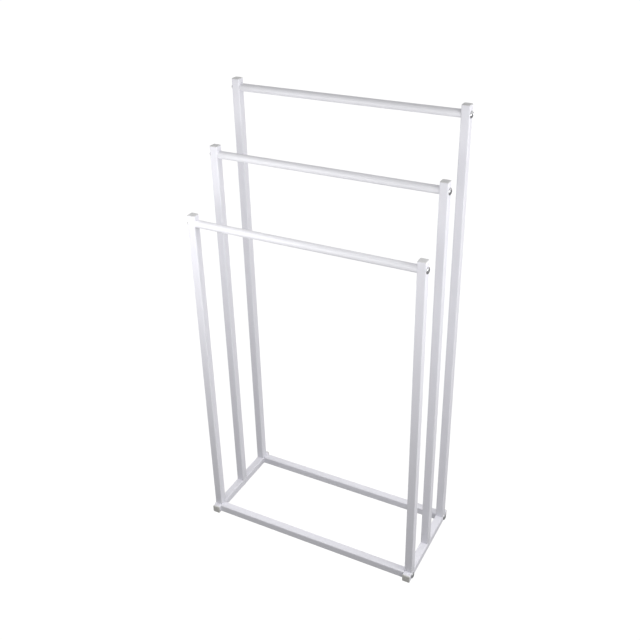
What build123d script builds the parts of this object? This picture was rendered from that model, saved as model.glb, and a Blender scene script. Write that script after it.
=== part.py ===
"""Free-standing three-tier towel rack: six square posts on a low base, three round towel bars.

Frame: millimetres, +Z up, +X along the bars, the low front tier towards -Y.
Origin: on the floor, at the centre of the footprint.
"""
from build123d import *
import os

os.makedirs("parts", exist_ok=True)

# ---- Driving dimensions -------------------------------------------------------------------
TUBE = 15.0            # square tube of posts and rails, across flats
TUBE_WALL = 1.2
TUBE_CORNER = 1.5      # outer corner radius of the square tube
FRAME_WIDTH = 428.0    # between the centre lines of the left and right posts
SIDE_RAIL_LENGTH = 200.0
POST_LENGTH = {"front": 650.0, "middle": 750.0, "rear": 850.0}
POST_Y = {"front": -83.5, "middle": 0.0, "rear": 83.5}
RAIL_Y = {"front": -87.5, "rear": 87.5}
BAR_DIAMETER = 14.0
BAR_WALL = 1.2
BAR_BELOW_POST_END = 15.0

GLIDE_THICKNESS = 1.5  # what the glides lift the rails off the floor
GLIDE_DIAMETER = 13.5
GLIDE_STEM_DIAMETER = 11.8
GLIDE_STEM_LENGTH = 2.6
GLIDE_POCKET_DIAMETER = 8.0
GLIDE_POCKET_DEPTH = 2.2

POST_CAP_THICKNESS = 1.5
RAIL_CAP_THICKNESS = 2.5
CAP_STEM_LENGTH = 8.0
CAP_STEM_WALL = 1.5
CAP_PRESS_GAP = 0.1    # all round between a cap's stem and the tube's bore
POST_CAP_EDGE = 0.7
RAIL_CAP_EDGE = 1.2

THREAD_DIAMETER = 6.0
THREAD_GAP = 0.05      # radial, between a screw and the bore of its insert
CLEARANCE_HOLE_DIAMETER = 6.5
ACCESS_HOLE_DIAMETER = 12.0
INSERT_LENGTH = 20.0
INSERT_GAP = 0.05      # all round between an insert and the tube's bore
INSERT_LEAD_IN = 0.8
HEAD_DIAMETER = 12.5   # domed head of the bar and rail screws
HEAD_HEIGHT = 3.2
HEAD_RIM = 0.8         # straight edge under the dome
SCREW_LENGTH = 32.0
SOCKET_WIDTH = 4.0     # hexagon key, across flats
SOCKET_DEPTH = 1.9
POST_SCREW_HEAD_DIAMETER = 10.5
POST_SCREW_HEAD_HEIGHT = 2.6
POST_SCREW_LENGTH = 18.0
SCREW_TIP_CHAMFER = 0.7

# ---- Dimensions that follow ---------------------------------------------------------------
HALF_TUBE = TUBE / 2
TUBE_BORE = TUBE - 2 * TUBE_WALL
TUBE_BORE_CORNER = TUBE_CORNER - TUBE_WALL
POST_X = FRAME_WIDTH / 2
BAR_LENGTH = FRAME_WIDTH - TUBE
RAIL_AXIS_Z = GLIDE_THICKNESS + HALF_TUBE
RAIL_TOP_Z = GLIDE_THICKNESS + TUBE
OUTER_FACE_X = POST_X + HALF_TUBE
CROSS_END_X = BAR_LENGTH / 2
SIDES = {"left": -1, "right": 1}


def bar_height(tier):
    """Height of a tier's bar axis above the floor."""
    return RAIL_TOP_Z + POST_LENGTH[tier] - BAR_BELOW_POST_END


def save(piece, name):
    """Label a finished piece and write it as its own STEP."""
    piece.part.label = name
    export_step(piece.part, f"parts/{name}.step")


def across(direction):
    """A direction square to the given one, so that a section's sides line up with the axes."""
    return (0, 1, 0) if direction[0] else (1, 0, 0)


def tube_section():
    """Outline of the square tube, drawn in the sketch that is open."""
    RectangleRounded(TUBE, TUBE, TUBE_CORNER)
    RectangleRounded(TUBE_BORE, TUBE_BORE, TUBE_BORE_CORNER, mode=Mode.SUBTRACT)


# ---- Base: two side rails on the floor, a front and a rear rail between them ----------------
for side, sign in SIDES.items():
    x = sign * POST_X
    with BuildPart() as side_rail:
        rear_centre = (x, SIDE_RAIL_LENGTH / 2, RAIL_AXIS_Z)
        rear_end = Plane(origin=rear_centre, x_dir=(1, 0, 0), z_dir=(0, -1, 0))
        with BuildSketch(rear_end):
            tube_section()
        extrude(amount=SIDE_RAIL_LENGTH)
        # A screw hole right through for each cross rail.
        right_face = x + HALF_TUBE
        rail_axes = [(right_face, y, RAIL_AXIS_Z) for y in RAIL_Y.values()]
        with Locations(*[Plane(origin=point, z_dir=(1, 0, 0)) for point in rail_axes]):
            Hole(CLEARANCE_HOLE_DIAMETER / 2, depth=TUBE)
        # Under each post a screw hole in the top wall and an access hole in the bottom wall.
        with Locations(*[(x, y, RAIL_TOP_Z) for y in POST_Y.values()]):
            Hole(CLEARANCE_HOLE_DIAMETER / 2, depth=HALF_TUBE)
        with Locations(*[(x, y, RAIL_AXIS_Z) for y in POST_Y.values()]):
            Hole(ACCESS_HOLE_DIAMETER / 2, depth=HALF_TUBE)
    save(side_rail, f"{side}_side_rail")

for place, y in RAIL_Y.items():
    with BuildPart() as cross_rail:
        with BuildSketch(Plane(origin=(-CROSS_END_X, y, RAIL_AXIS_Z), x_dir=(0, 1, 0), z_dir=(1, 0, 0))):
            tube_section()
        extrude(amount=BAR_LENGTH)
    save(cross_rail, f"{place}_rail")

# ---- Posts, each with a hole right through it for the screw of its bar ----------------------
for tier, length in POST_LENGTH.items():
    for side, sign in SIDES.items():
        with BuildPart() as post:
            with BuildSketch(Plane(origin=(sign * POST_X, POST_Y[tier], RAIL_TOP_Z))):
                tube_section()
            extrude(amount=length)
            hole_start = (sign * POST_X + HALF_TUBE, POST_Y[tier], bar_height(tier))
            with Locations(Plane(origin=hole_start, z_dir=(1, 0, 0))):
                Hole(CLEARANCE_HOLE_DIAMETER / 2, depth=TUBE)
        save(post, f"{tier}_{side}_post")

# ---- Towel bars, clamped between the posts --------------------------------------------------
for tier in POST_Y:
    with BuildPart() as bar:
        with BuildSketch(Plane(origin=(-CROSS_END_X, POST_Y[tier], bar_height(tier)), z_dir=(1, 0, 0))):
            Circle(BAR_DIAMETER / 2)
            Circle(BAR_DIAMETER / 2 - BAR_WALL, mode=Mode.SUBTRACT)
        extrude(amount=BAR_LENGTH)
    save(bar, f"{tier}_bar")


# ---- Threaded inserts pressed into the ends of bars, cross rails and posts ------------------
def round_insert(mouth, inward):
    """Round plug with a threaded bore, from the mouth of a bar inwards."""
    with BuildPart() as insert:
        with BuildSketch(Plane(origin=mouth, z_dir=inward)):
            Circle(BAR_DIAMETER / 2 - BAR_WALL - INSERT_GAP)
        extrude(amount=INSERT_LENGTH)
        chamfer(insert.faces().sort_by(Axis(mouth, inward))[-1].edges(), INSERT_LEAD_IN)
        with BuildSketch(Plane(origin=mouth, z_dir=inward)):
            Circle(THREAD_DIAMETER / 2 + THREAD_GAP)
        extrude(amount=INSERT_LENGTH, mode=Mode.SUBTRACT)
    return insert


def square_insert(mouth, inward):
    """Square plug with a threaded bore, from the mouth of a square tube inwards."""
    width = TUBE_BORE - 2 * INSERT_GAP
    with BuildPart() as insert:
        with BuildSketch(Plane(origin=mouth, x_dir=across(inward), z_dir=inward)):
            RectangleRounded(width, width, INSERT_LEAD_IN)
        extrude(amount=INSERT_LENGTH)
        chamfer(insert.faces().sort_by(Axis(mouth, inward))[-1].edges(), INSERT_LEAD_IN / 2)
        with BuildSketch(Plane(origin=mouth, z_dir=inward)):
            Circle(THREAD_DIAMETER / 2 + THREAD_GAP)
        extrude(amount=INSERT_LENGTH, mode=Mode.SUBTRACT)
    return insert


def save_group(pieces, name):
    """Write like pieces as one node of separate solids."""
    group = Compound(label=name, children=[piece.part for piece in pieces])
    export_step(group, f"parts/{name}.step")


bar_ends = [(sign, POST_Y[tier], bar_height(tier)) for tier in POST_Y for sign in SIDES.values()]
rail_ends = [(sign, y, RAIL_AXIS_Z) for y in RAIL_Y.values() for sign in SIDES.values()]
post_feet = [(sign * POST_X, y) for y in POST_Y.values() for sign in SIDES.values()]

bar_inserts = [round_insert((sign * CROSS_END_X, y, z), (-sign, 0, 0)) for sign, y, z in bar_ends]
rail_inserts = [square_insert((sign * CROSS_END_X, y, z), (-sign, 0, 0)) for sign, y, z in rail_ends]
foot_inserts = [square_insert((x, y, RAIL_TOP_Z), (0, 0, 1)) for x, y in post_feet]
save_group(bar_inserts, "bar_end_inserts")
save_group(rail_inserts, "rail_end_inserts")
save_group(foot_inserts, "post_foot_inserts")


# ---- Screws ---------------------------------------------------------------------------------
def domed_screw(seat, outward):
    """Domed socket screw: its head stands outward of the seat, its shank runs inward."""
    with BuildPart() as screw:
        with BuildSketch(Plane(origin=seat, x_dir=(0, 1, 0), z_dir=outward)):
            Circle(HEAD_DIAMETER / 2)
        extrude(amount=HEAD_HEIGHT)
        rim_edge = screw.faces().sort_by(Axis(seat, outward))[-1].edges()
        fillet(rim_edge, HEAD_HEIGHT - HEAD_RIM)
        with BuildSketch(Plane(origin=seat, x_dir=(0, 1, 0), z_dir=outward).offset(HEAD_HEIGHT)):
            RegularPolygon(SOCKET_WIDTH / 2, 6, major_radius=False)
        extrude(amount=-SOCKET_DEPTH, mode=Mode.SUBTRACT)
        with BuildSketch(Plane(origin=seat, x_dir=(0, 1, 0), z_dir=outward)):
            Circle(THREAD_DIAMETER / 2)
        extrude(amount=-SCREW_LENGTH)
        chamfer(screw.faces().sort_by(Axis(seat, outward))[0].edges(), SCREW_TIP_CHAMFER)
    return screw


def post_screw(x, y):
    """Low-headed socket screw inside a side rail, up through its top wall into a post."""
    seat_z = RAIL_TOP_Z - TUBE_WALL
    with BuildPart() as screw:
        with BuildSketch(Plane(origin=(x, y, seat_z - POST_SCREW_HEAD_HEIGHT))):
            Circle(POST_SCREW_HEAD_DIAMETER / 2)
        extrude(amount=POST_SCREW_HEAD_HEIGHT)
        chamfer(screw.edges().sort_by(Axis.Z)[0], INSERT_LEAD_IN / 2)
        with BuildSketch(Plane(origin=(x, y, seat_z - POST_SCREW_HEAD_HEIGHT))):
            RegularPolygon(SOCKET_WIDTH / 2, 6, major_radius=False)
        extrude(amount=SOCKET_DEPTH, mode=Mode.SUBTRACT)
        with BuildSketch(Plane(origin=(x, y, seat_z))):
            Circle(THREAD_DIAMETER / 2)
        extrude(amount=POST_SCREW_LENGTH)
        chamfer(screw.faces().sort_by(Axis.Z)[-1].edges(), SCREW_TIP_CHAMFER)
    return screw


bar_screws = [domed_screw((sign * OUTER_FACE_X, y, z), (sign, 0, 0)) for sign, y, z in bar_ends]
rail_screws = [domed_screw((sign * OUTER_FACE_X, y, z), (sign, 0, 0)) for sign, y, z in rail_ends]
save_group(bar_screws, "bar_screws")
save_group(rail_screws, "rail_screws")
save_group([post_screw(x, y) for x, y in post_feet], "post_screws")


# ---- Plastic end caps -----------------------------------------------------------------------
def end_cap(mouth, outward, thickness, edge_radius):
    """Square cap: a plate over the tube's end and a hollow stem pressed into its bore."""
    stem = TUBE_BORE - 2 * CAP_PRESS_GAP
    hollow = stem - 2 * CAP_STEM_WALL
    mouth_plane = Plane(origin=mouth, x_dir=across(outward), z_dir=outward)
    with BuildPart() as cap:
        with BuildSketch(mouth_plane):
            RectangleRounded(TUBE, TUBE, TUBE_CORNER)
        extrude(amount=thickness)
        fillet(cap.faces().sort_by(Axis(mouth, outward))[-1].edges(), edge_radius)
        with BuildSketch(mouth_plane):
            RectangleRounded(stem, stem, TUBE_BORE_CORNER)
            RectangleRounded(hollow, hollow, TUBE_BORE_CORNER, mode=Mode.SUBTRACT)
        extrude(amount=-CAP_STEM_LENGTH)
    return cap


for tier, length in POST_LENGTH.items():
    for side, sign in SIDES.items():
        post_end = (sign * POST_X, POST_Y[tier], RAIL_TOP_Z + length)
        post_cap = end_cap(post_end, (0, 0, 1), POST_CAP_THICKNESS, POST_CAP_EDGE)
        save(post_cap, f"{tier}_{side}_post_cap")

for place, direction in (("front", -1), ("rear", 1)):
    for side, sign in SIDES.items():
        rail_end = (sign * POST_X, direction * SIDE_RAIL_LENGTH / 2, RAIL_AXIS_Z)
        rail_cap = end_cap(rail_end, (0, direction, 0), RAIL_CAP_THICKNESS, RAIL_CAP_EDGE)
        save(rail_cap, f"{place}_{side}_rail_cap")

# ---- Floor glides: push-in buttons that close the access holes ------------------------------
for tier, y in POST_Y.items():
    for side, sign in SIDES.items():
        with BuildPart() as glide:
            with BuildSketch(Plane(origin=(sign * POST_X, y, 0))):
                Circle(GLIDE_DIAMETER / 2)
            extrude(amount=GLIDE_THICKNESS)
            chamfer(glide.edges().sort_by(Axis.Z)[0], GLIDE_THICKNESS / 3)
            with BuildSketch(Plane(origin=(sign * POST_X, y, GLIDE_THICKNESS))):
                Circle(GLIDE_STEM_DIAMETER / 2)
            extrude(amount=GLIDE_STEM_LENGTH)
            with Locations((sign * POST_X, y, GLIDE_THICKNESS + GLIDE_STEM_LENGTH)):
                Hole(GLIDE_POCKET_DIAMETER / 2, depth=GLIDE_POCKET_DEPTH)
        save(glide, f"{tier}_{side}_glide")
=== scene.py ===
import math

import bpy
import numpy as np
from mathutils import Matrix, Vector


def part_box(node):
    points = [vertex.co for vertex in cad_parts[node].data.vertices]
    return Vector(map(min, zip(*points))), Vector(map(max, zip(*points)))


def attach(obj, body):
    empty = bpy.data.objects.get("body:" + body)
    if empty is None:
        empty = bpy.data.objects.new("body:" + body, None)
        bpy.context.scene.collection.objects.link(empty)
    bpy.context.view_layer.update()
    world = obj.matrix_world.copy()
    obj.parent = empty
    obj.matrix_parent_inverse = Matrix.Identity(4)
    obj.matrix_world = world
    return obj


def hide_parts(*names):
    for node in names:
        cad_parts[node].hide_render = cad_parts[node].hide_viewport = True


# The looks of a three-tier towel rack. Metres, +Z up, +X along the bars, the low tier towards -Y.
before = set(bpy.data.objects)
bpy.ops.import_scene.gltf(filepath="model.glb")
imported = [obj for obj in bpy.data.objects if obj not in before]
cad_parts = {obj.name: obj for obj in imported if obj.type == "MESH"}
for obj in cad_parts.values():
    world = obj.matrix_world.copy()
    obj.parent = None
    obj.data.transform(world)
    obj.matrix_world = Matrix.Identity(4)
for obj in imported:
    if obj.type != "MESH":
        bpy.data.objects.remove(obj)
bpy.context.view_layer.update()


# ---- Square tubes: side rails, cross rails and posts ------------------------------------------
# Steel tube with small rounded corners, cut to length, drilled for its screws and powder coated
# white, cut edges and bores included. The cross rails are clamped between the side rails, and the
# posts stand on the side rails, each held by a screw from below.
MM = 0.001
TIERS = ("front", "middle", "rear")
SIDES = ("left", "right")
TUBE_CORNER = 1.5 * MM
TUBE_WALL = 1.2 * MM
CUT_EDGE_ROUND = 0.25 * MM
CUT_EDGE_STEPS = 3
FLAT_CELLS = 12
CORNER_CELLS = 8
ROW_SPACING = 30 * MM
FEWEST_ROWS = 3
SAME_ROW_DECIMALS = 7
SCREW_HOLE_RADIUS = 3.25 * MM
ACCESS_HOLE_RADIUS = 5.95 * MM
SHARP_ANGLE = math.radians(40)
X_AXIS, Y_AXIS, Z_AXIS = 0, 1, 2


def square_outline(half, corner):
    """Points, outward normals and corner mask of a rounded square, anticlockwise from a flat's start.

    One side is a flat in equal cells and a quarter circle, whose points are the corner's centre
    plus the corner radius times (cos, sin). The other three sides are that side turned by 90 degrees.
    The mask is twice the product of the normal's parts: 0 on the flats, 1 in the corners' middles.
    """
    core = half - corner
    along = np.linspace(-core, core, FLAT_CELLS, endpoint=False)
    angle = np.linspace(0, math.pi / 2, CORNER_CELLS, endpoint=False)
    turned = np.stack((np.cos(angle), np.sin(angle)), 1)
    flat = np.stack((np.full(FLAT_CELLS, half), along), 1)
    side = np.concatenate((flat, core + corner * turned))
    side_normals = np.concatenate((np.tile((1.0, 0.0), (FLAT_CELLS, 1)), turned))
    turns = [Matrix.Rotation(k * math.pi / 2, 2) for k in range(4)]
    points = np.concatenate([side @ np.array(turn).T for turn in turns])
    normals = np.concatenate([side_normals @ np.array(turn).T for turn in turns])
    return points, normals, 2 * np.abs(normals[:, 0] * normals[:, 1])


def grid_cells(rows, columns):
    """Cells of a grid whose columns close on themselves, as an array of rows, columns and corners."""
    row, column = np.meshgrid(np.arange(rows - 1), np.arange(columns), indexing="ij")
    after = (column + 1) % columns
    low, high = row * columns, (row + 1) * columns
    return np.stack((low + column, low + after, high + after, high + column), -1)


def to_frame(section, height, axis):
    """Section points (a, b) at a height along an axis, as x, y, z. a, b and the axis are right-handed."""
    a, b = section[..., 0], section[..., 1]
    local = np.stack((a, b, np.broadcast_to(height, a.shape)), -1)
    order = [(axis + 1) % 3, (axis + 2) % 3, axis]
    placed = np.empty_like(local)
    placed[..., order] = local
    return placed


def finished_piece(name, points, faces, material, nodes, edge=None):
    """A smooth-shaded mesh object with sharp creases, riding on the frame in place of its CAD nodes."""
    mesh = bpy.data.meshes.new(name)
    mesh.from_pydata(points.tolist(), [], faces)
    mesh.polygons.foreach_set("use_smooth", np.ones(len(mesh.polygons), bool))
    mesh.set_sharp_from_angle(angle=SHARP_ANGLE)
    if edge is not None:
        mesh.attributes.new("edge", "FLOAT", "POINT").data.foreach_set("value", edge)
    mesh.materials.append(material)
    piece = bpy.data.objects.new(name, mesh)
    bpy.context.scene.collection.objects.link(piece)
    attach(piece, "root")
    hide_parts(*nodes)
    return piece


def drilled_tube(name, node, axis, outer, inner, material, holes=()):
    """A tube along an axis, between the ends of its node's CAD box.

    Both skins are their outline carried along the axis: point(u, s) = outline(u) + s. They share
    rows and columns, so a ring of cells joins them at each end. Towards an end the outer skin is
    drawn in by round (1 - cos) while s goes on by round sin. A hole (flat, s, radius) drops the
    square patch of cells on a flat and joins the patch's rim to a circle on the same rays. The
    edge mask is the outline's corner mask or, where it is more, the sin of a cut end's bend.
    """
    low, high = (np.array(corner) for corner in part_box(node))
    centre = (low + high) / 2
    centre[axis] = 0
    outline, normals, corners = outer
    columns = len(outline)
    core = outline[FLAT_CELLS, 1]
    bend = np.linspace(0, math.pi / 2, CUT_EDGE_STEPS + 1)
    edge_drop = CUT_EDGE_ROUND * (1 - np.sin(bend))
    start, end = low[axis], high[axis]
    patches = [s + np.linspace(-core, core, FLAT_CELLS + 1) for _, s, _ in holes]
    between = np.linspace(start, end, max(FEWEST_ROWS, round((end - start) / ROW_SPACING)))[1:-1]
    for patch in patches:
        between = between[(between < patch[0] - MM) | (between > patch[-1] + MM)]
    rows = np.concatenate([start + edge_drop, end - edge_drop, between, *patches])
    rows = np.unique(np.round(rows, SAME_ROW_DECIMALS))
    from_end = np.minimum(rows - start, end - rows)
    sine = np.clip(1 - from_end / CUT_EDGE_ROUND, 0, 1)
    draw_in = CUT_EDGE_ROUND * (1 - np.sqrt(1 - sine**2))
    skin = outline[None] - draw_in[:, None, None] * normals[None]
    bore = np.broadcast_to(inner[None], skin.shape)
    points = [to_frame(part, rows[:, None], axis).reshape(-1, 3) for part in (skin, bore)]
    cells = grid_cells(len(rows), columns)
    kept = np.ones(cells.shape[:2], bool)
    bore_first = len(rows) * columns
    count = 2 * bore_first
    extra_cells = []
    step = np.arange(FLAT_CELLS)
    rim_column = np.concatenate((step, np.full(FLAT_CELLS, FLAT_CELLS), FLAT_CELLS - step, 0 * step))
    rim_row = np.roll(rim_column, FLAT_CELLS)
    rays = np.stack((rim_column, rim_row), 1) - FLAT_CELLS / 2
    rays = rays / np.linalg.norm(rays, axis=1)[:, None]
    for flat, s, radius in holes:
        first_column = flat * (FLAT_CELLS + CORNER_CELLS)
        first_row = int(np.argmin(np.abs(rows - (s - core))))
        kept[first_row:first_row + FLAT_CELLS, first_column:first_column + FLAT_CELLS] = False
        rim = (first_row + rim_row) * columns + first_column + rim_column
        facing = normals[first_column]
        sideways = np.array((-facing[1], facing[0]))
        circle = rays[:, :1] * radius * sideways
        for depth in (outline[first_column] @ facing, inner[first_column] @ facing):
            points.append(to_frame(circle + depth * facing, s + radius * rays[:, 1], axis))
        outer_ring = count + np.arange(len(rim))
        inner_ring = outer_ring + len(rim)
        count += 2 * len(rim)
        for a, b in ((rim, outer_ring), (outer_ring, inner_ring), (inner_ring, bore_first + rim)):
            extra_cells.append(np.stack((a, np.roll(a, -1), np.roll(b, -1), b), 1))
    skin_cells = cells[kept]
    bore_cells = bore_first + skin_cells[:, ::-1]
    ring = np.arange(columns)
    after = np.roll(ring, -1)
    last = (len(rows) - 1) * columns
    low_end = np.stack((bore_first + ring, bore_first + after, after, ring), 1)
    high_end = last + np.stack((ring, after, bore_first + after, bore_first + ring), 1)
    faces = np.concatenate([skin_cells, bore_cells, low_end, high_end, *extra_cells])
    edge = np.zeros(count)
    edge[:bore_first] = np.maximum(corners[None], sine[:, None]).ravel()
    placed = np.concatenate(points) + centre
    return finished_piece(name, placed, faces.tolist(), material, [node], edge)


def node_group(name, inputs, outputs):
    """An empty shader group with its sockets, its input node and its output node."""
    group = bpy.data.node_groups.new(name, "ShaderNodeTree")
    for label, kind, value in inputs:
        group.interface.new_socket(label, in_out="INPUT", socket_type=kind).default_value = value
    for label, kind in outputs:
        group.interface.new_socket(label, in_out="OUTPUT", socket_type=kind)
    return group, group.nodes.new("NodeGroupInput"), group.nodes.new("NodeGroupOutput")


def add(tree, kind, links=(), **values):
    """A node in a tree. Values set its properties or the inputs of that name; links feed its inputs."""
    node = tree.nodes.new(kind)
    for key, value in values.items():
        if hasattr(node, key):
            setattr(node, key, value)
        else:
            node.inputs[key].default_value = value
    for socket, source in dict(links).items():
        tree.links.new(source, node.inputs[socket])
    return node


def combined(tree, operation, *terms):
    """The result of a math node whose terms are sockets or plain numbers."""
    node = tree.nodes.new("ShaderNodeMath")
    node.operation = operation
    for socket, term in zip(node.inputs, terms):
        if isinstance(term, (int, float)):
            socket.default_value = term
        else:
            tree.links.new(term, socket)
    return node.outputs[0]


FLECK_SPACING = 7 * MM
# a fleck's radius as a share of the spacing, and how many radii out it has faded away
FLECK_SHARE = 0.028
FLECK_FADE = 2


def make_surface_group():
    """Relief, faint patches of tone and of gloss, and flecks, for every coated or moulded surface.

    Relief is fine grain on broad peel, both noise. Tone = colour x (1 - tone change x slow noise -
    fleck x a dot near each scattered point). Roughness = the given roughness + roughness change x
    (slow noise - 1/2).
    """
    group, given, result = node_group("fine_surface", (
        ("Colour", "NodeSocketColor", (0.8, 0.8, 0.8, 1)),
        ("Tone change", "NodeSocketFloat", 0.03),
        ("Patch size", "NodeSocketFloat", 0.03),
        ("Fleck", "NodeSocketFloat", 0.05),
        ("Grain size", "NodeSocketFloat", 0.001),
        ("Grain depth", "NodeSocketFloat", 0.00002),
        ("Peel size", "NodeSocketFloat", 0.003),
        ("Peel depth", "NodeSocketFloat", 0.00004),
        ("Roughness", "NodeSocketFloat", 0.4),
        ("Roughness change", "NodeSocketFloat", 0.1),
    ), (("Colour", "NodeSocketColor"), ("Roughness", "NodeSocketFloat"), ("Normal", "NodeSocketVector")))
    place = add(group, "ShaderNodeTexCoord").outputs["Object"]
    values = given.outputs
    noises = {}
    for label, detail in (("Patch", 4), ("Grain", 3), ("Peel", 2)):
        scale = combined(group, "DIVIDE", 1, values[f"{label} size"])
        noises[label] = add(group, "ShaderNodeTexNoise", {"Vector": place, "Scale": scale},
                            Detail=detail, Roughness=0.5).outputs["Fac"]
    points = add(group, "ShaderNodeTexVoronoi", {"Vector": place}, Scale=1 / FLECK_SPACING)
    dots = add(group, "ShaderNodeMapRange", {"Value": points.outputs["Distance"]},
               interpolation_type="SMOOTHSTEP")
    dots.inputs["From Min"].default_value = FLECK_SHARE
    dots.inputs["From Max"].default_value = FLECK_SHARE * FLECK_FADE
    dots.inputs["To Min"].default_value = 1
    dots.inputs["To Max"].default_value = 0
    darker = combined(group, "MULTIPLY", noises["Patch"], values["Tone change"])
    darker = combined(group, "MULTIPLY_ADD", dots.outputs["Result"], values["Fleck"], darker)
    tone = add(group, "ShaderNodeVectorMath",
               {0: values["Colour"], "Scale": combined(group, "SUBTRACT", 1, darker)}, operation="SCALE")
    centred = combined(group, "SUBTRACT", noises["Patch"], 0.5)
    gloss = combined(group, "MULTIPLY_ADD", centred, values["Roughness change"], values["Roughness"])
    peel = add(group, "ShaderNodeBump", {"Height": noises["Peel"], "Distance": values["Peel depth"]})
    relief = add(group, "ShaderNodeBump", {"Height": noises["Grain"], "Distance": values["Grain depth"],
                                           "Normal": peel.outputs["Normal"]})
    for label, source in (("Colour", tone.outputs[0]), ("Roughness", gloss),
                          ("Normal", relief.outputs["Normal"])):
        group.links.new(source, result.inputs[label])
    return group


fine_surface = make_surface_group()
# places of a mix node's two colours among its inputs, and of its result among its outputs
COLOUR_A, COLOUR_B, MIXED_COLOUR = 6, 7, 2


def surface_material(name, colour, edge_colour=None, metallic=0.0, rubbed_above=0.0, **surface):
    """A material on the fine surface group.

    Where the mesh has an edge mask, the colour fades to the edge colour. Where a surface faces up,
    roughness falls by rubbed above x the height of its normal.
    """
    material = bpy.data.materials.new(name)
    material.use_nodes = True
    tree = material.node_tree
    shader = tree.nodes["Principled BSDF"]
    shader.inputs["Metallic"].default_value = metallic
    finish = add(tree, "ShaderNodeGroup", node_tree=fine_surface)
    for label, value in surface.items():
        finish.inputs[label.replace("_", " ").capitalize()].default_value = value
    finish.inputs["Colour"].default_value = (*colour, 1)
    if edge_colour:
        edge = add(tree, "ShaderNodeAttribute", attribute_name="edge")
        mix = add(tree, "ShaderNodeMix", {0: edge.outputs["Fac"]}, data_type="RGBA")
        mix.inputs[COLOUR_A].default_value = (*colour, 1)
        mix.inputs[COLOUR_B].default_value = (*edge_colour, 1)
        tree.links.new(mix.outputs[MIXED_COLOUR], finish.inputs["Colour"])
    gloss = finish.outputs["Roughness"]
    if rubbed_above:
        normal = add(tree, "ShaderNodeNewGeometry").outputs["Normal"]
        height = add(tree, "ShaderNodeSeparateXYZ", {0: normal}).outputs["Z"]
        upper = combined(tree, "MAXIMUM", height, 0)
        gloss = combined(tree, "MULTIPLY_ADD", upper, -rubbed_above, gloss)
    tree.links.new(finish.outputs["Colour"], shader.inputs["Base Color"])
    tree.links.new(gloss, shader.inputs["Roughness"])
    tree.links.new(finish.outputs["Normal"], shader.inputs["Normal"])
    return material


COAT_WHITE = (0.82, 0.816, 0.868)
COAT_ON_EDGES = (0.79, 0.787, 0.835)
tube_coat = surface_material(
    "white_powder_coat", COAT_WHITE, COAT_ON_EDGES, tone_change=0.03, patch_size=0.04, fleck=0.06,
    grain_size=0.7 * MM, grain_depth=0.022 * MM, peel_size=2.6 * MM, peel_depth=0.12 * MM,
    roughness=0.38, roughness_change=0.14)

tube_low, tube_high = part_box("front_left_post")
tube_half = (tube_high.x - tube_low.x) / 2
tube_outer = square_outline(tube_half, TUBE_CORNER)
tube_inner = square_outline(tube_half - TUBE_WALL, TUBE_CORNER - TUBE_WALL)[0]


def middle(node):
    """Centre of a CAD node's box."""
    low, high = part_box(node)
    return (low + high) / 2


# a side rail's outline starts with its top
TOP, RIGHT, BOTTOM, LEFT = range(4)
for side in SIDES:
    post_places = [middle(f"{tier}_{side}_post").y for tier in TIERS]
    rail_places = [middle(f"{place}_rail").y for place in ("front", "rear")]
    rail_holes = [(flat, y, SCREW_HOLE_RADIUS) for y in rail_places for flat in (RIGHT, LEFT)]
    rail_holes += [(TOP, y, SCREW_HOLE_RADIUS) for y in post_places]
    rail_holes += [(BOTTOM, y, ACCESS_HOLE_RADIUS) for y in post_places]
    drilled_tube(f"{side}_side_rail_tube", f"{side}_side_rail", Y_AXIS, tube_outer, tube_inner,
                 tube_coat, rail_holes)

for place in ("front", "rear"):
    drilled_tube(f"{place}_rail_tube", f"{place}_rail", X_AXIS, tube_outer, tube_inner,
                 tube_coat)

# a post's outline starts with its right face
POST_RIGHT, POST_LEFT = 0, 2
for tier in TIERS:
    for side in SIDES:
        node = f"{tier}_{side}_post"
        bar_height = middle(f"{tier}_bar").z
        post_holes = [(flat, bar_height, SCREW_HOLE_RADIUS) for flat in (POST_RIGHT, POST_LEFT)]
        drilled_tube(f"{node}_tube", node, Z_AXIS, tube_outer, tube_inner, tube_coat,
                     post_holes)


# ---- Towel bars ---------------------------------------------------------------------------------
# Thin round steel tube, cut square and powder coated like the frame, but given a slightly lighter
#  white as painted light. Each bar is clamped between two posts by a screw at each end; towels keep
#  the upper side a little smoother than the rest.
BAR_WALL = 1.2 * MM
BAR_COLUMNS = 72
# the bars' white is the frame's coat made a little lighter: painted light that brightens the bars
BAR_WHITE_PAINTED_LIGHTER = (0.84, 0.837, 0.875)
bar_coat = surface_material(
    "bar_powder_coat", BAR_WHITE_PAINTED_LIGHTER, COAT_ON_EDGES, rubbed_above=0.05, tone_change=0.03, patch_size=0.03,
    fleck=0.05, grain_size=0.7 * MM, grain_depth=0.018 * MM, peel_size=2.4 * MM, peel_depth=0.10 * MM,
    roughness=0.40, roughness_change=0.12)


def round_outline(radius, columns):
    """Points, outward normals and empty corner mask of a circle: radius times (cos, sin)."""
    angle = np.linspace(0, 2 * math.pi, columns, endpoint=False)
    normals = np.stack((np.cos(angle), np.sin(angle)), 1)
    return radius * normals, normals, np.zeros(columns)


bar_low, bar_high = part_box("front_bar")
bar_radius = (bar_high.z - bar_low.z) / 2
bar_outer = round_outline(bar_radius, BAR_COLUMNS)
bar_inner = round_outline(bar_radius - BAR_WALL, BAR_COLUMNS)[0]
for tier in TIERS:
    drilled_tube(f"{tier}_bar_tube", f"{tier}_bar", X_AXIS, bar_outer, bar_inner, bar_coat)


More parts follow.
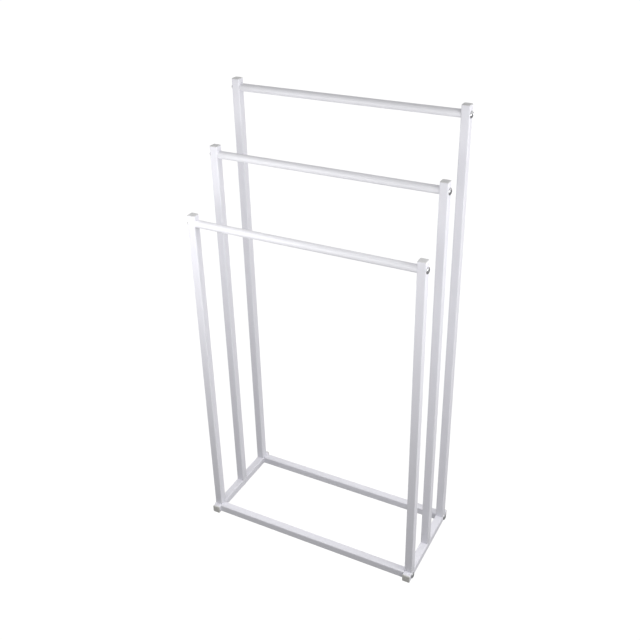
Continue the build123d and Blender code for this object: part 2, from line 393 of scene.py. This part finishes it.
# ---- Post caps ----------------------------------------------------------------------------------
# Moulded white plastic: a thin plate over the post's end with a softened edge and a slightly
# crowned top, and a hollow square stem that presses into the tube.
CAP_STEM_LENGTH = 8 * MM
CAP_STEM_HALF = 6.2 * MM
CAP_STEM_HOLLOW_HALF = 4.7 * MM
CAP_LEAD_IN = 0.5 * MM
POST_CAP_EDGE = 1.0 * MM
POST_CAP_CROWN = 0.3 * MM
EDGE_STEPS = 6
CROWN_STEPS = 6
cap_plastic = surface_material(
    "white_cap_plastic", (0.71, 0.71, 0.715), tone_change=0.05, patch_size=0.006, fleck=0.04,
    grain_size=0.35 * MM, grain_depth=0.010 * MM, peel_size=3 * MM, peel_depth=0.03 * MM,
    roughness=0.42, roughness_change=0.12)


def turned_mesh(rings):
    """Vertices and faces of a solid made of rings from pole to pole, its outline's points in columns.

    The rings run from the inner end outwards and up to the outer end, so that every cell faces
    out. The first and the last ring are single points, closed by fans of triangles.
    """
    columns = rings.shape[1]
    points = np.concatenate((rings[0, :1], rings[1:-1].reshape(-1, 3), rings[-1, :1]))
    cells = 1 + grid_cells(len(rings) - 2, columns).reshape(-1, 4)
    ring = 1 + np.arange(columns)
    after = np.roll(ring, -1)
    outer_ring, outer_after = ring + (len(rings) - 3) * columns, after + (len(rings) - 3) * columns
    inner_fan = np.stack((np.zeros_like(ring), after, ring), 1)
    outer_fan = np.stack((outer_ring, outer_after, np.full_like(ring, len(points) - 1)), 1)
    return points, cells.tolist() + inner_fan.tolist() + outer_fan.tolist()


def faced(section, height, axis, sign):
    """Like to_frame, for a piece that looks along an axis or, with sign -1, against it."""
    placed = to_frame(section, height, axis)
    if sign < 0:
        # half a turn about the section's second axis keeps the piece right-handed
        placed[..., [axis, (axis + 1) % 3]] *= -1
    return placed


def cap_profile(half, thickness, edge, crown):
    """Half widths and heights of a cap's section, from the hollow's middle to the top's middle.

    The edge is a quarter circle, (1 - cos, sin) times the edge radius. The top falls from its
    middle by crown x (distance from the middle / half width) squared.
    """
    bend = np.linspace(0, math.pi / 2, EDGE_STEPS + 1)
    inwards = np.linspace(1, 0, CROWN_STEPS + 1)
    widths = [0, CAP_STEM_HOLLOW_HALF, CAP_STEM_HOLLOW_HALF, CAP_STEM_HALF - CAP_LEAD_IN,
              CAP_STEM_HALF, CAP_STEM_HALF, half]
    heights = [0, 0, -CAP_STEM_LENGTH, -CAP_STEM_LENGTH, CAP_LEAD_IN - CAP_STEM_LENGTH, 0, 0]
    edge_top = thickness - crown
    widths += list(half - edge * (1 - np.cos(bend)))
    heights += list(edge_top - edge * (1 - np.sin(bend)))
    widths += list((half - edge) * inwards[1:])
    heights += list(thickness - crown * inwards[1:] ** 2)
    return np.array(widths), np.array(heights)


def end_cap(name, node, axis, sign, profile, material, mouth):
    """A square cap: each point of the section carried round the tube's outline, scaled to its width."""
    widths, heights = profile
    outline = tube_outer[0] / tube_half
    section = widths[:, None, None] * outline[None]
    centre = np.array(middle(node))
    centre[axis] = mouth
    rings = faced(section, heights[:, None], axis, sign) + centre
    points, faces = turned_mesh(rings)
    return finished_piece(name, points, faces, material, [node])


for tier in TIERS:
    for side in SIDES:
        node = f"{tier}_{side}_post_cap"
        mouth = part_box(f"{tier}_{side}_post")[1].z
        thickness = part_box(node)[1].z - mouth
        shape = cap_profile(tube_half, thickness, POST_CAP_EDGE, POST_CAP_CROWN)
        end_cap(f"{node}_moulding", node, Z_AXIS, 1, shape, cap_plastic, mouth)


# ---- Rail caps ----------------------------------------------------------------------------------
# Moulded pale grey plastic, thicker than the post caps and with a rounder edge, pressed into the
# ends of the side rails where feet and the floor knock against them.
RAIL_CAP_EDGE = 1.2 * MM
RAIL_CAP_CROWN = 0.2 * MM
rail_cap_plastic = surface_material(
    "grey_cap_plastic", (0.63, 0.625, 0.60), tone_change=0.09, patch_size=0.005, fleck=0.1,
    grain_size=0.4 * MM, grain_depth=0.014 * MM, peel_size=3 * MM, peel_depth=0.04 * MM,
    roughness=0.5, roughness_change=0.14)

for place, sign in (("front", -1), ("rear", 1)):
    for side in SIDES:
        node = f"{place}_{side}_rail_cap"
        rail_ends = [corner.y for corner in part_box(f"{side}_side_rail")]
        cap_ends = [corner.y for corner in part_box(node)]
        mouth = min(rail_ends) if sign < 0 else max(rail_ends)
        thickness = mouth - min(cap_ends) if sign < 0 else max(cap_ends) - mouth
        shape = cap_profile(tube_half, thickness, RAIL_CAP_EDGE, RAIL_CAP_CROWN)
        end_cap(f"{node}_moulding", node, Y_AXIS, sign, shape, rail_cap_plastic, mouth)


# ---- Bar screws and rail screws -----------------------------------------------------------------
# Chrome plated steel: a low domed head with a hexagon socket, seated on the tube's outer face, and
# a rolled thread that pulls on the insert inside the bar or the cross rail.
HEAD_RADIUS = 6.25 * MM
HEAD_HEIGHT = 3.2 * MM
HEAD_RIM = 0.8 * MM
SOCKET_HALF = 2.0 * MM
SOCKET_DEPTH = 1.9 * MM
SOCKET_CHAMFER = 0.25 * MM
DRILL_POINT = 0.5 * MM
SCREW_COLUMNS = 48
DOME_STEPS = 14
DOME_POWER = 0.62
DOME_END = 1.25 * SOCKET_HALF
SEAT_CHAMFER = 0.03 * HEAD_RADIUS
SCREW_LENGTH = 32 * MM
THREAD_RADIUS = 3.0 * MM
THREAD_DEPTH = 0.55 * MM
THREAD_PITCH = 1.0 * MM
ROWS_PER_TURN = 6
THREAD_RUN_OUT = 2.0 * MM
TIP_CHAMFER = 0.7 * MM
chrome = surface_material(
    "chrome_plate", (0.66, 0.66, 0.68), metallic=1.0, tone_change=0.12, patch_size=0.002, fleck=0,
    grain_size=0.25 * MM, grain_depth=0.003 * MM, peel_size=1.5 * MM, peel_depth=0.004 * MM,
    roughness=0.22, roughness_change=0.08)


def screw_rings():
    """Points and heights of a screw on its seat, head up: radius(angle, height) in rows and columns.

    The thread's radius is the root plus the depth times a triangle wave of height / pitch -
    angle / turn, faded out at both ends. The dome falls from its top as (1 - distance^2) to a
    power. In the socket the circle is scaled by 1 / cos of the angle from the nearest flat.
    """
    angle = np.linspace(0, 2 * math.pi, SCREW_COLUMNS, endpoint=False)
    turns = int(round((SCREW_LENGTH - TIP_CHAMFER) / THREAD_PITCH))
    shank_heights = np.linspace(TIP_CHAMFER - SCREW_LENGTH, 0, turns * ROWS_PER_TURN + 1)
    phase = shank_heights[:, None] / THREAD_PITCH - angle[None] / (2 * math.pi)
    wave = np.abs(2 * (phase % 1) - 1)
    from_ends = np.minimum(shank_heights + SCREW_LENGTH, -shank_heights)
    fade = np.clip(from_ends / THREAD_RUN_OUT, 0, 1)[:, None]
    shank = THREAD_RADIUS - THREAD_DEPTH * (1 - wave * fade)
    tip = np.array((0, THREAD_RADIUS - THREAD_DEPTH - TIP_CHAMFER))
    share = np.linspace(1, DOME_END / HEAD_RADIUS, DOME_STEPS)
    dome_heights = HEAD_RIM + (HEAD_HEIGHT - HEAD_RIM) * (1 - share**2) ** DOME_POWER
    hexagon = 1 / np.cos((angle + math.pi / 6) % (math.pi / 3) - math.pi / 6)
    mouth_height = dome_heights[-1]
    socket = np.array((SOCKET_HALF + SOCKET_CHAMFER, SOCKET_HALF, SOCKET_HALF))[:, None] * hexagon
    socket_heights = np.array((mouth_height, mouth_height - SOCKET_CHAMFER, HEAD_HEIGHT - SOCKET_DEPTH))
    rows = [tip[:, None] * np.ones_like(angle), shank]
    heights = [np.full(2, -SCREW_LENGTH), shank_heights]
    rows += [np.array((HEAD_RADIUS - SEAT_CHAMFER, HEAD_RADIUS))[:, None] * np.ones_like(angle)]
    heights += [np.array((0, SEAT_CHAMFER))]
    rows += [HEAD_RADIUS * share[:, None] * np.ones_like(angle), socket, np.zeros((1, SCREW_COLUMNS))]
    heights += [dome_heights, socket_heights, np.array([HEAD_HEIGHT - SOCKET_DEPTH - DRILL_POINT])]
    radius, height = np.concatenate(rows), np.concatenate(heights)
    section = radius[..., None] * np.stack((np.cos(angle), np.sin(angle)), -1)[None]
    return section, height


screw_section, screw_heights = screw_rings()


def domed_screw(name, seat, sign, node):
    """One screw with its seat on an outer face, looking out along X."""
    rings = faced(screw_section, screw_heights[:, None], X_AXIS, sign) + np.array(seat)
    points, faces = turned_mesh(rings)
    return finished_piece(name, points, faces, chrome, [node])


for side, sign in (("left", -1), ("right", 1)):
    face_x = middle(f"front_{side}_post").x + sign * tube_half
    for tier in TIERS:
        axis_point = middle(f"{tier}_bar")
        seat = (face_x, axis_point.y, axis_point.z)
        domed_screw(f"{tier}_{side}_bar_screw", seat, sign, "bar_screws")
    for place in ("front", "rear"):
        axis_point = middle(f"{place}_rail")
        seat = (face_x, axis_point.y, axis_point.z)
        domed_screw(f"{place}_{side}_rail_screw", seat, sign, "rail_screws")


# ---- Floor glides -------------------------------------------------------------------------------
# Moulded pale grey plastic buttons, pushed into the access holes under the posts. They carry the
# rack a little above the floor.
GLIDE_STEM_RADIUS = 5.9 * MM
GLIDE_POCKET_RADIUS = 4.0 * MM
GLIDE_POCKET_DEPTH = 2.2 * MM
GLIDE_EDGE = 0.5 * MM
GLIDE_COLUMNS = 64
glide_plastic = surface_material(
    "glide_plastic", (0.66, 0.66, 0.65), tone_change=0.08, patch_size=0.004, fleck=0.1,
    grain_size=0.4 * MM, grain_depth=0.01 * MM, peel_size=2 * MM, peel_depth=0.02 * MM,
    roughness=0.45, roughness_change=0.15)
rail_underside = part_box("left_side_rail")[0].z


def glide_profile(radius, foot, top):
    """Radii and heights of a glide, from the middle of its foot to the middle of the pocket on top.

    The foot's edge is a quarter circle, (sin, 1 - cos) times the edge radius. Above it come the
    rim under the rail, the stem and the pocket.
    """
    bend = np.linspace(0, math.pi / 2, EDGE_STEPS + 1)
    pocket_floor = top - GLIDE_POCKET_DEPTH
    radii = np.concatenate((
        [0], radius - GLIDE_EDGE * (1 - np.sin(bend)),
        (radius, GLIDE_STEM_RADIUS, GLIDE_STEM_RADIUS, GLIDE_POCKET_RADIUS, GLIDE_POCKET_RADIUS, 0)))
    heights = np.concatenate((
        [foot], foot + GLIDE_EDGE * (1 - np.cos(bend)),
        (rail_underside, rail_underside, top, top, pocket_floor, pocket_floor)))
    return radii, heights


glide_circle = round_outline(1.0, GLIDE_COLUMNS)[0]
for tier in TIERS:
    for side in SIDES:
        node = f"{tier}_{side}_glide"
        low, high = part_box(node)
        radii, heights = glide_profile((high.x - low.x) / 2, low.z, high.z)
        section = radii[:, None, None] * glide_circle[None]
        centre = np.array(middle(node)) * (1, 1, 0)
        rings = to_frame(section, heights[:, None], Z_AXIS) + centre
        points, faces = turned_mesh(rings)
        finished_piece(f"{node}_moulding", points, faces, glide_plastic, [node])


# ---- Inserts and post screws --------------------------------------------------------------------
# Zinc plated steel: threaded plugs pressed into the tubes' ends, and low-headed screws inside the
# side rails that pull the posts down. All of them are hidden once the rack is together.
zinc = surface_material(
    "zinc_plate", (0.56, 0.57, 0.58), metallic=1.0, tone_change=0.25, patch_size=0.004, fleck=0.1,
    grain_size=0.3 * MM, grain_depth=0.006 * MM, peel_size=2 * MM, peel_depth=0.01 * MM,
    roughness=0.36, roughness_change=0.2)
for node in ("bar_end_inserts", "rail_end_inserts", "post_foot_inserts", "post_screws"):
    for material_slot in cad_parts[node].material_slots:
        material_slot.material = zinc


# ---- Studio ---------------------------------------------------------------------------------------
# A white floor and backdrop, two soft lamps just in front of the rack at the height of its bars and
# one to its right, two low ones behind it, and broad soft light from the right, front and back.
FLOOR_SIZE = 12.0
FLOOR_DROP = 0.1 * MM
FLOOR_GREY = 0.15
FLOOR_GLOW = 0.18
CAMERA_WHITE = 1.05


def white_to_camera(tree, other, output):
    """Plain white to the camera, and the other shader to every other ray."""
    white = add(tree, "ShaderNodeEmission", Strength=CAMERA_WHITE)
    path = add(tree, "ShaderNodeLightPath")
    mix = add(tree, "ShaderNodeMixShader", {0: path.outputs["Is Camera Ray"]})
    tree.links.new(other, mix.inputs[1])
    tree.links.new(white.outputs[0], mix.inputs[2])
    tree.links.new(mix.outputs[0], output.inputs["Surface"])


half_floor = FLOOR_SIZE / 2
floor_corners = [(x * half_floor, y * half_floor, -FLOOR_DROP)
                 for x, y in ((-1, -1), (1, -1), (1, 1), (-1, 1))]
floor_mesh = bpy.data.meshes.new("floor")
floor_mesh.from_pydata(floor_corners, [], [(0, 1, 2, 3)])
floor_material = bpy.data.materials.new("floor_paper")
floor_material.use_nodes = True
floor_tree = floor_material.node_tree
floor_output = floor_tree.nodes["Material Output"]
floor_tree.nodes.remove(floor_tree.nodes["Principled BSDF"])
paper = add(floor_tree, "ShaderNodeBsdfDiffuse", Color=(FLOOR_GREY, FLOOR_GREY, FLOOR_GREY, 1))
glow = add(floor_tree, "ShaderNodeEmission", Strength=FLOOR_GLOW)
lit_paper = add(floor_tree, "ShaderNodeAddShader", {0: paper.outputs[0], 1: glow.outputs[0]})
white_to_camera(floor_tree, lit_paper.outputs[0], floor_output)
floor_mesh.materials.append(floor_material)
floor = bpy.data.objects.new("floor", floor_mesh)
bpy.context.scene.collection.objects.link(floor)

# the way to each broad light and its strength, which falls as the squared cosine of the angle from it
SOFT_LIGHTS = (
    ((0.866, 0.0, 0.5), 0.92),
    ((0.0, -0.707, 0.707), 0.24),
    ((-0.8, 0.6, 0.0), 0.9),
    ((0.3, 0.954, 0.0), 0.75),
)
world = bpy.data.worlds.new("studio")
bpy.context.scene.world = world
world.use_nodes = True
world_tree = world.node_tree
world_output = world_tree.nodes["World Output"]
direction = add(world_tree, "ShaderNodeTexCoord").outputs["Generated"]
total = 0
for towards, strength in SOFT_LIGHTS:
    facing = add(world_tree, "ShaderNodeVectorMath", {0: direction}, operation="DOT_PRODUCT")
    facing.inputs[1].default_value = towards
    ahead = combined(world_tree, "MAXIMUM", facing.outputs["Value"], 0)
    squared = combined(world_tree, "MULTIPLY", ahead, ahead)
    total = combined(world_tree, "MULTIPLY_ADD", squared, strength, total)
world_tree.links.new(total, world_tree.nodes["Background"].inputs["Strength"])
world_tree.nodes["Background"].inputs["Color"].default_value = (1, 1, 1, 1)
white_to_camera(world_tree, world_tree.nodes["Background"].outputs[0], world_output)

for name, place, power, radius in (
        ("left_lamp", (-0.25, -0.45, 0.72), 7.1, 0.25),
        ("middle_lamp", (0.30, -0.45, 0.72), 2.45, 0.25),
        ("right_lamp", (0.83, -0.10, 0.80), 11.0, 0.15),
        ("back_left_lamp", (-1.2, 0.45, 0.22), 10.0, 0.30),
        ("back_lamp", (-0.1, 1.2, 0.22), 7.5, 0.30)):
    lamp = bpy.data.lights.new(name, "POINT")
    lamp.energy = power
    lamp.shadow_soft_size = radius
    lamp_object = bpy.data.objects.new(name, lamp)
    lamp_object.location = place
    lamp_object.visible_camera = False
    bpy.context.scene.collection.objects.link(lamp_object)

EYE = (0.6114, -1.1623, 1.2146)
YAW, PITCH, ROLL = math.radians(27.399), math.radians(-28.286), math.radians(-0.838)
camera_data = bpy.data.cameras.new("camera")
camera_data.sensor_width = 36
camera_data.lens = 46.51
camera_data.shift_x = -0.015625
camera_data.shift_y = -0.03125
camera = bpy.data.objects.new("camera", camera_data)
turn = Matrix.Rotation(YAW, 4, "Z") @ Matrix.Rotation(math.pi / 2 + PITCH, 4, "X")
camera.matrix_world = Matrix.Translation(EYE) @ turn @ Matrix.Rotation(ROLL, 4, "Z")
bpy.context.scene.collection.objects.link(camera)
bpy.context.scene.camera = camera
bpy.context.scene.view_settings.view_transform = "Standard"
